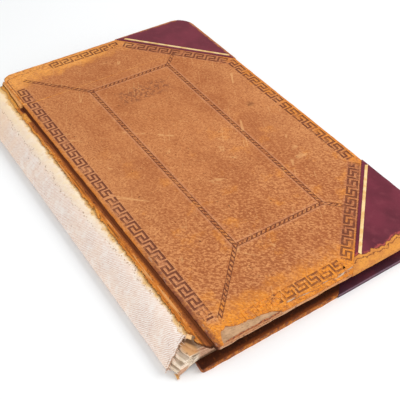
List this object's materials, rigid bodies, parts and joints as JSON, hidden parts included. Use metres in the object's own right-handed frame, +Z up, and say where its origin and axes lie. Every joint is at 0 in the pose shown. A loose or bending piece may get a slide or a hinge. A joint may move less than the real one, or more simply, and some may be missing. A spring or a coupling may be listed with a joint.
{
  "type": "antique ledger",
  "caption": "Worn leather ledger lying closed: tan boards with a tooled key border, maroon corners with gilt strips, bare canvas spine. Both covers open on hinges.",
  "frame": {"origin": "bottom centre of the closed book's bounding box, on the surface it lies on", "axes": "+Z up through the front cover, +Y from tail to head along the spine, +X from spine to fore edge"},
  "size_m": [0.2304, 0.3424, 0.0224],
  "materials": {
    "tan_leather": "worn rough calf",
    "maroon_leather": "smooth satin",
    "gilt": "rubbed gilt",
    "pasteboard": "matte",
    "paper": "matte, aged",
    "canvas": "twill weave",
    "tape": "plain weave"
  },
  "bodies": {
    "back_cover": {"back_board": "pasteboard", "back_leather": "tan_leather", "back_corner_head": "maroon_leather", "back_corner_tail": "maroon_leather", "back_gilt_head": "gilt", "back_gilt_tail": "gilt", "back_pastedown": "paper"},
    "text_block": {"page_block": "paper", "sewing_tapes": "tape", "spine_canvas": "canvas", "joint_leather": "tan_leather"},
    "front_cover": {"front_board": "pasteboard", "front_leather": "tan_leather", "front_corner_head": "maroon_leather", "front_corner_tail": "maroon_leather", "front_gilt_head": "gilt", "front_gilt_tail": "gilt", "front_pastedown": "paper"}
  },
  "joints": [
    {"name": "back_hinge", "type": "hinge", "parent": "back_cover", "child": "text_block", "pos_m": [-0.1, 0, 0.0021], "axis": [0, -1, 0], "range_deg": [0, 70]},
    {"name": "front_hinge", "type": "hinge", "parent": "text_block", "child": "front_cover", "pos_m": [-0.09, 0, 0.02], "axis": [0, -1, 0], "range_deg": [0, 110]}
  ]
}
